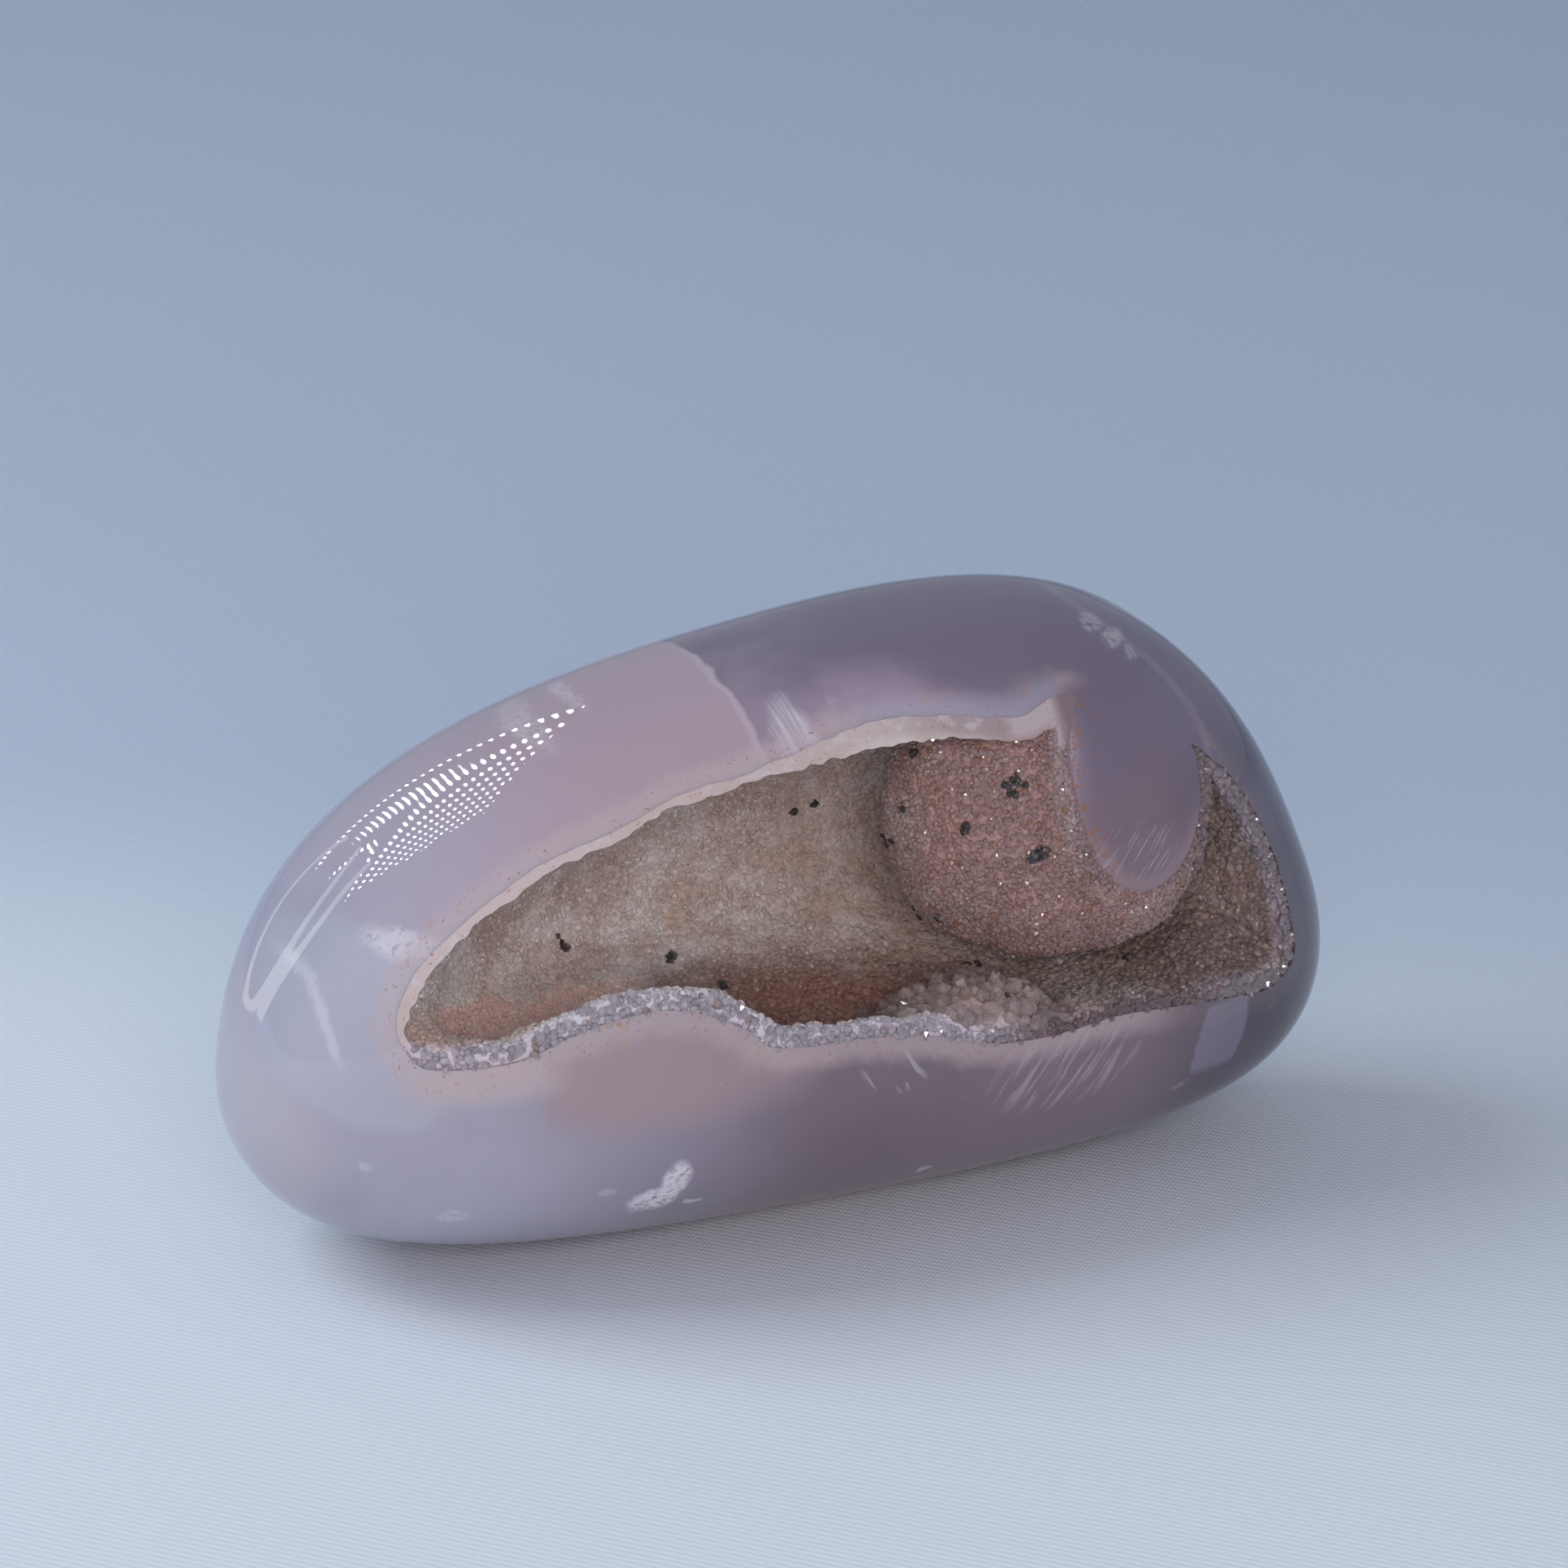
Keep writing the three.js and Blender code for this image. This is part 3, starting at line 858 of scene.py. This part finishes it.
def openSpace():
    # the empty space that is left inside the crust
    look = crustLook
    space = pieceFrom("open", *hollowSurface(look["thickness"], 76, look["lumps"], look["thinner"]))
    for lobe in lobes:
        coat = ellipsoid(lobe["at"], lobe["coat"], 6, look["coatLumps"])
        carve(space, pieceFrom("coat", *coat), "DIFFERENCE")
    mound = ellipsoid(hump["at"], hump["size"], 5, look["coatLumps"])
    return carve(space, pieceFrom("mound", *mound), "DIFFERENCE")


def recessAt(points):
    # the crust's cut edge is flush along the upper lip and sunk elsewhere
    look = crustLook
    upper = upperLip(points[:, 0], points[:, 2])
    clearOfLobe = smoothStep(0.9, 1.0, ellipsoidReach(points, *look["overLobe"]))
    return look["recess"] + (look["flush"] - look["recess"]) * upper * clearOfLobe


def druzyCrust(space):
    look = crustLook
    bed = pieceFrom("druzyCrust", *hollowSurface(-look["lap"], 30))
    lobeCores(bed, -look["lap"], "DIFFERENCE")
    points, faces = skinSurface()
    centre = np.array((0, 0, pebble["centreHeight"]))
    inner = centre + (points - centre) * (1 - recessAt(points))[:, None]
    carve(bed, pieceFrom("inner", inner, faces), "INTERSECT")
    tool = space.copy()
    tool.data = space.data.copy()
    bpy.context.scene.collection.objects.link(tool)
    carve(bed, tool, "DIFFERENCE")
    keepLargest(bed)
    points, faces = pointsOf(bed), trianglesOf(bed)
    note(bed, "rimDistance", rimDistances(points, rimLine))
    cut = abs(skinMargin(points) - recessAt(points)) < 0.002
    note(bed, "cut", cut * (recessAt(points) < look["recess"] * 0.5))
    middles = points[faces].mean(1)
    sunk = recessAt(middles)
    cutEdge = (abs(skinMargin(middles) - sunk) < sunk * 0.3) & (sunk > look["recess"] * 0.7)
    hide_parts("druzy_crust")
    settle(bed, crustPaint(), 40)
    return points, faces, cutEdge


openPiece = openSpace()
rimPlaces = druzyCrust(openPiece)
print("crust grown")


# The quartz points

pointLook = {
    "seed": 41,
    "tilt": 0.3,
    "tongue": ((20.5, -16.0, 32.0), (8.2, 9.0, 10.5)),  # place and half size of its surroundings
    "lobe": {
        "spacing": 0.42,
        "radius": (0.18, 0.33),
        "length": (0.3, 0.55),
        "clear": (0.62, 0.43, 0.40),
        "share": (0.3, 0.45),  # how much of the clear colour: the least, and the spread
        "transmission": 0.5,
        "rusty": 0.8,
        "roughness": 0.12,
    },
    "wall": {
        "spacing": 0.5,
        "radius": (0.2, 0.36),
        "length": (0.22, 0.4),
        "clear": (0.70, 0.64, 0.58),
        "share": (0.0, 0.2),
        "transmission": 0.12,
        "rusty": 0.25,
        "roughness": 0.35,
    },
    "hump": {
        "spacing": 1.1,
        "radius": (0.45, 0.9),
        "length": (0.9, 1.7),
        "clear": (0.90, 0.76, 0.76),
        "share": (0.5, 0.35),
        "transmission": 0.75,
        "rusty": 0.4,
        "roughness": 0.06,
    },
    "rim": {
        "spacing": 0.5,
        "radius": (0.2, 0.46),
        "length": (0.4, 0.85),
        "clear": (0.71, 0.67, 0.72),
        "share": (0.5, 0.4),
        "transmission": 0.65,
        "rusty": 0.4,
        "roughness": 0.06,
    },
    "rust": (0.45, 0.22, 0.12),
}


def thinned(places, spacing):
    # one place in each cell of a grid, which keeps the points apart
    cells = np.floor(places / spacing).astype(int)
    return np.sort(np.unique(cells, axis=0, return_index=True)[1])


def seats(points, faces, chosen, spacing, draw):
    # places and outward directions spread over the chosen faces
    normals = faceNormals(points, faces)
    areas = np.where(chosen, np.linalg.norm(normals, axis=1) / 2, 0)
    count = int(areas.sum() / spacing ** 2 * 4)
    chosen = draw.choice(len(faces), count, p=areas / areas.sum())
    u, v = draw.random(count), draw.random(count)
    u, v = np.where(u + v > 1, 1 - u, u), np.where(u + v > 1, 1 - v, v)
    a, b, c = (points[faces[chosen, k]] for k in range(3))
    places = a + (b - a) * u[:, None] + (c - a) * v[:, None]
    ways = normals[chosen] / np.linalg.norm(normals[chosen], axis=1)[:, None]
    kept = thinned(places, spacing)
    return places[kept], ways[kept]


def quartzPoints(name, places, ways, radii, lengths, draw, material):
    # six-sided points, each sunk a little into what it stands on
    count = len(places)
    tipped = ways + draw.normal(0, pointLook["tilt"], (count, 3))
    tipped /= np.linalg.norm(tipped, axis=1)[:, None]
    side = np.cross(tipped, draw.normal(0, 1, (count, 3)))
    side /= np.linalg.norm(side, axis=1)[:, None]
    other = np.cross(tipped, side)
    turns = np.arange(6) * math.pi / 3
    ring = side[:, None] * np.cos(turns)[None, :, None] + other[:, None] * np.sin(turns)[None, :, None]
    ring = ring * radii[:, None, None]
    length = lengths[:, None]
    foot = places - tipped * length * 0.35
    shoulder = places + tipped * length * 0.3
    lift = draw.uniform(-0.12, 0.12, (count, 6, 1)) * length[:, None]
    tip = places + tipped * length * 0.65 + side * radii[:, None] * draw.uniform(-0.3, 0.3, (count, 1))
    corners = np.concatenate((
        foot[:, None] + ring * 0.85,
        shoulder[:, None] + ring + tipped[:, None] * lift,
        tip[:, None],
    ), 1)
    pattern = [(5, 4, 3, 2, 1, 0)]
    for k in range(6):
        after = (k + 1) % 6
        pattern += [(k, after, 6 + after, 6 + k), (6 + k, 6 + after, 12)]
    faces = [tuple(13 * i + k for k in face) for i in range(count) for face in pattern]
    piece = pieceFrom(name, corners.reshape(-1, 3), faces)
    note(piece, "tone", np.repeat(draw.random(count), 13))
    note(piece, "rimDistance", np.repeat(rimDistances(places, rimLine), 13))
    settle(piece, material)
    return piece


def pointPaint(group):
    look = pointLook[group]
    paint = Paint(group + "Quartz")
    place = paint.place()
    under, grains, lobe = crustColour(paint, place)
    under = edgeColour(paint, place, under, lobe)
    tone = paint.attribute("tone")
    least, spread = look["share"]
    clear = look["clear"]
    if group == "rim":
        clear = paint.mix(lowerDusk(paint, paint.split(place)[0]), clear, crustLook["lowBrown"])
    colour = paint.mix(least + tone * spread, under, clear)
    colour = paint.mix(paint.rise(tone, 0.965, 0.97) * look["rusty"], colour, pointLook["rust"])
    return paint.finish({
        "Base Color": colour,
        "Roughness": look["roughness"] + grains * 0.12,
        "IOR": 1.55,
        "Transmission Weight": look["transmission"],
        "Normal": paint.bump(grains, 0.03, 0.3),
    })


def growPoints(space, rimPlaces):
    draw = np.random.default_rng(pointLook["seed"])
    points, faces = pointsOf(space), trianglesOf(space)[:, ::-1]  # turned to look out of the crust
    middles = points[faces].mean(1)
    upper = upperLip(middles[:, 0], middles[:, 2])
    within = skinMargin(middles) > 0.02 - 0.014 * upper
    onLobe = np.zeros(len(faces), bool)
    for lobe in lobes:
        onLobe |= ellipsoidReach(middles, lobe["at"], lobe["coat"]) < 1.12
    onHump = ellipsoidReach(middles, hump["at"], hump["size"]) < 1.3
    wall = within & ~onLobe & ~onHump
    rimPoints, rimFaces, rimChosen = rimPlaces
    besideTongue = ellipsoidReach(rimPoints[rimFaces].mean(1), *pointLook["tongue"]) < 1
    groups = (
        ("lobePoints", "lobe", points, faces, within & onLobe & ~onHump),
        ("wallPoints", "wall", points, faces, wall & (middles[:, 0] < 2)),
        ("wallPointsTallEnd", "wall", points, faces, wall & (middles[:, 0] >= 2)),
        ("humpPoints", "hump", points, faces, within & onHump),
        ("rimPoints", "rim", rimPoints, rimFaces, rimChosen & ~besideTongue),
        ("tonguePoints", "lobe", rimPoints, rimFaces, rimChosen & besideTongue),
    )
    materials = {group: pointPaint(group) for group in ("lobe", "wall", "hump", "rim")}
    for name, group, corners, sides, chosen in groups:
        look = pointLook[group]
        places, ways = seats(corners, sides, chosen, look["spacing"], draw)
        count = len(places)
        radii, lengths = (
            low + (high - low) * draw.random(count) ** 1.6 for low, high in (look["radius"], look["length"])
        )
        quartzPoints(name, places, ways, radii, lengths, draw, materials[group])
        print(name, count)


growPoints(openPiece, rimPlaces)


# Dark mineral grains in the crust

grainLook = {
    "seed": 7,
    "size": (0.12, 0.3),
    "proud": 0.12,  # how far they stand out of the crust
    "colour": (0.035, 0.03, 0.032),
    "colourLight": (0.10, 0.075, 0.07),
    "clusters": (  # place, how many grains, how far they spread
        ((13.5, -14.7, 35.0), 16, 1.1),
        ((15.1, -15.7, 29.9), 18, 1.2),
        ((9.8, -14.7, 31.8), 6, 0.6),
        ((7.1, -10.1, 32.4), 6, 0.6),
        ((8.2, -8.0, 29.6), 6, 0.7),
        ((8.3, -9.5, 36.2), 5, 0.6),
        ((9.6, -8.0, 23.7), 6, 0.7),
        ((9.7, -10.6, 24.0), 5, 0.5),
        ((22.9, -16.8, 25.1), 5, 0.6),
        ((10.5, -18.6, 18.0), 4, 0.4),
        ((-15.3, 0.4, 21.7), 4, 0.8),
        ((-7.5, -0.8, 19.8), 5, 0.8),
        ((4.1, 3.1, 28.0), 4, 0.5),
        ((5.6, 3.0, 28.6), 4, 0.5),
        ((14.4, -6.1, 17.7), 4, 0.6),
        ((25.5, -9.0, 17.7), 4, 0.6),
        ((32.8, -13.1, 16.6), 3, 0.5),
        ((-21.8, -14.2, 31.9), 3, 0.4),
        ((-4.5, -4.0, 18.2), 4, 0.5),
        ((12.7, -16.4, 19.9), 3, 0.4),
    ),
}


def grainPaint():
    look = grainLook
    paint = Paint("darkGrain")
    place = paint.place()
    speckle = paint.noise(place, 0.2, 3, 0.6)
    return paint.finish({
        "Base Color": paint.mix(paint.rise(speckle, 0.45, 0.7), look["colour"], look["colourLight"]),
        "Roughness": 0.25 + speckle * 0.4,
        "Normal": paint.bump(speckle, 0.05, 0.6),
        "IOR": 1.6,
    })


def darkGrains(space):
    look = grainLook
    draw = np.random.default_rng(look["seed"])
    tree = BVHTree.FromPolygons(pointsOf(space).tolist(), trianglesOf(space).tolist())
    unit, faces = ellipsoid((0, 0, 0), (1, 1, 1), 2)
    points, allFaces = [], []
    for place, count, spread in look["clusters"]:
        for _ in range(count):
            near = Vector(np.array(place) + draw.normal(0, spread / 3.4, 3))
            nearest, outward = tree.find_nearest(near)[:2]
            spot = np.array(nearest - outward * look["proud"])
            if skinMargin(spot[None])[0] < 0.015:
                continue
            size = draw.uniform(*look["size"]) * draw.uniform(0.45, 1.6, 3)
            lumpy = unit * (1 + 0.6 * wander(unit, 0.6, draw.uniform(0, 90)))[:, None]
            allFaces.append(faces + len(unit) * len(points))
            points.append(spot + lumpy * size)
    piece = pieceFrom("darkGrains", np.vstack(points), np.vstack(allFaces))
    settle(piece, grainPaint())


darkGrains(openPiece)
bpy.data.objects.remove(openPiece)
print("dark grains set")


# Floor, light and camera

stageLook = {
    "floorHalf": 3.0,
    "near": (0.78, 0.84, 0.91),
    "far": (0.54, 0.63, 0.76),
    "shade": (0.50, 0.56, 0.68),
    "fuzz": (0.6, 0.63, 0.7),
    "side": (0.927, 0.375, 0),  # to the right of the picture, where the cloth is painted darker as shade
    "fadeStart": 0.02,
    "fadeEnd": 0.10,
    "threads": 2.4,  # threads in each millimetre
    "worldColour": (0.80, 0.90, 1.06),
    "worldStrength": 0.37,
    "topAim": (-0.7, 0.3, 0.75),
    "topDistance": 0.8,
    "topSize": (0.5, 0.5),
    "topPower": 3.0,
    "topColour": (0.84, 0.93, 1.0),
    "frontAim": (-0.28, -0.90, 0.35),
    "frontDistance": 0.9,
    "frontSize": (0.5, 0.4),
    "frontPower": 3.5,
    "frontColour": (1.0, 0.84, 0.80),
    "sparkAim": (0.335, -0.914, 0.229),
    "sparkDistance": 0.7,
    "sparkSize": (0.11, 0.11),
    "sparkPower": 1.6,
    "sparkColour": (1.0, 0.98, 0.96),
    "lampCorners": (  # in metres
        (0.067, 0.797, 0.449),
        (-0.239, 0.562, 0.699),
        (-0.371, 0.648, 0.546),
        (-0.380, 0.792, 0.266),
    ),
    "glowColour": (0.93, 0.97, 1.0),
    "betweenDots": (0.014, 0.0145, 0.015),
    "lampGlow": 17.0,
    "lampDots": (32, 8),
    "stripCorners": (
        (-0.1235, 0.2715, 0.129),
        (-0.1275, 0.269, 0.131),
        (-0.180, 0.2563, 0.003),
        (-0.168, 0.2608, 0.003),
    ),
    "stripGlow": 1.4,
    "bounces": 6,  # how often light is followed, which keeps the picture quick to make
    "azimuth": -22.0,
    "elevation": 20.0,
    "cameraDistance": 0.4,
    "cameraTarget": (0.0019, 0.0, 0.03151),
    "lens": 126.7,
}


def backwards(azimuth, elevation):
    a, e = math.radians(azimuth), math.radians(elevation)
    return Vector((math.sin(a) * math.cos(e), -math.cos(a) * math.cos(e), math.sin(e)))


def clothFloor():
    look = stageLook
    paint = Paint("paleCloth")
    spot = paint.node("ShaderNodeTexCoord", output="Object")
    away = paint.measured("DOT_PRODUCT", spot, -backwards(look["azimuth"], 0))
    fade = paint.rise(away, look["fadeStart"], look["fadeEnd"])
    side = paint.measured("DOT_PRODUCT", spot, look["side"])
    place = paint.place()
    x, y, _ = paint.split(place)
    pitch = look["threads"] * math.pi
    twill = ((x + y) * pitch).sine()
    cross = ((x - y) * pitch * 2).sine()
    fuzz = paint.noise(place, 0.3, 3, 0.6)
    weave = twill * 0.5 + cross * 0.3 + fuzz * 0.6
    # painted shade: the cloth is darker and bluer away from the camera, where the light falls off
    colour = paint.mix(fade, look["near"], look["far"])
    # painted shade: the cloth darkens towards the right of the picture
    colour = paint.mix(paint.rise(side, -0.01, 0.09) * 0.68, colour, look["shade"])
    colour = paint.mix(paint.rise(fuzz, 0.3, 0.8) * 0.06, colour, look["fuzz"])
    material = paint.finish({
        "Base Color": colour,
        "Roughness": 0.92,
        "Normal": paint.bump(weave, 0.05, 0.5),
    })
    half = look["floorHalf"] / mm
    corners = np.array(((-half, -half, 0), (half, -half, 0), (half, half, 0), (-half, half, 0)))
    floor = pieceFrom("clothFloor", corners, [(0, 1, 2, 3)])
    floor.data.transform(Matrix.Scale(mm, 4))
    floor.data.materials.append(material)


def panel(name, onlyGloss=False):
    # a rectangular light that looks at the stone: a soft one that isn't seen in the polish, or
    # one that only shows as a reflection
    look = stageLook
    light = bpy.data.lights.new(name + "Light", "AREA")
    light.shape = "RECTANGLE"
    light.size, light.size_y = look[name + "Size"]
    light.energy = look[name + "Power"]
    light.color = look[name + "Colour"]
    piece = bpy.data.objects.new(name + "Light", light)
    bpy.context.scene.collection.objects.link(piece)
    way = Vector(look[name + "Aim"]).normalized()
    piece.location = Vector((0, 0, 0.025)) + way * look[name + "Distance"]
    piece.rotation_mode = "QUATERNION"
    piece.rotation_quaternion = way.to_track_quat("Z", "Y")
    hidden = ("camera", "glossy")
    if onlyGloss:
        hidden = ("camera", "diffuse", "transmission", "volume_scatter")
    for ray in hidden:
        setattr(piece, "visible_" + ray, False)


def glowPaint(name, strength, dots):
    # a shining face, plain or with rows of small round lamps
    paint = Paint(name)
    colour = (*stageLook["glowColour"], 1)
    if dots:
        face = paint.node("ShaderNodeTexCoord", output="UV")
        cell = paint.node("ShaderNodeVectorMath", {"operation": "FRACTION"}, {0: face})
        away = paint.measured("DISTANCE", cell, (0.5, 0.5, 0))
        lit = paint.fall(away, 0.14, 0.26)
        colour = paint.mix(lit, stageLook["betweenDots"], stageLook["glowColour"])
    shader = paint.node("ShaderNodeEmission", {}, {"Color": colour, "Strength": strength})
    paint.node("ShaderNodeOutputMaterial", {}, {"Surface": shader}, None)
    paint.material.cycles.emission_sampling = "NONE"
    return paint.material


def glow(name, corners, strength, dots=None):
    # a face that only shows as a reflection in the polish
    corners = [Vector(c) for c in corners]
    mesh = bpy.data.meshes.new(name)
    mesh.from_pydata([tuple(c) for c in corners], [], [(0, 1, 2, 3)])
    if dots:
        along = corners[3] - corners[0]
        down = corners[1] - corners[0]
        down -= along * (down.dot(along) / along.length_squared)
        square = mesh.uv_layers.new(name="square")
        for k, corner in enumerate(corners):
            place = corner - corners[0]
            shares = (place.dot(along) / along.length_squared, place.dot(down) / down.length_squared)
            square.data[k].uv = (shares[0] * dots[0] + 0.5, shares[1] * dots[1] + 0.5)
    piece = bpy.data.objects.new(name, mesh)
    bpy.context.scene.collection.objects.link(piece)
    mesh.materials.append(glowPaint(name, strength, dots))
    for ray in ("camera", "diffuse", "transmission", "volume_scatter", "shadow"):
        setattr(piece, "visible_" + ray, False)


def studio():
    look = stageLook
    world = bpy.data.worlds.new("studioAir")
    world.use_nodes = True
    air = world.node_tree.nodes["Background"]
    air.inputs["Color"].default_value = (*look["worldColour"], 1)
    air.inputs["Strength"].default_value = look["worldStrength"]
    bpy.context.scene.world = world
    panel("top")
    panel("front")
    panel("spark", True)  # the polish would show it inside the mouth, so only the points catch it
    glow("lampFace", look["lampCorners"], look["lampGlow"], look["lampDots"])
    glow("stripFace", look["stripCorners"], look["stripGlow"])
    bpy.context.scene.view_settings.view_transform = "Standard"
    cycles = bpy.context.scene.cycles
    cycles.max_bounces = look["bounces"]
    cycles.diffuse_bounces = 3
    cycles.glossy_bounces = 3
    cycles.transmission_bounces = look["bounces"]


def camera():
    look = stageLook
    lens = bpy.data.cameras.new("camera")
    lens.lens = look["lens"]
    lens.clip_start = 0.01
    piece = bpy.data.objects.new("camera", lens)
    bpy.context.scene.collection.objects.link(piece)
    back = backwards(look["azimuth"], look["elevation"])
    piece.location = Vector(look["cameraTarget"]) + back * look["cameraDistance"]
    piece.rotation_mode = "QUATERNION"
    piece.rotation_quaternion = (-back).to_track_quat("-Z", "Y")
    bpy.context.scene.camera = piece


clothFloor()
studio()
camera()
print("floor, light and camera set")
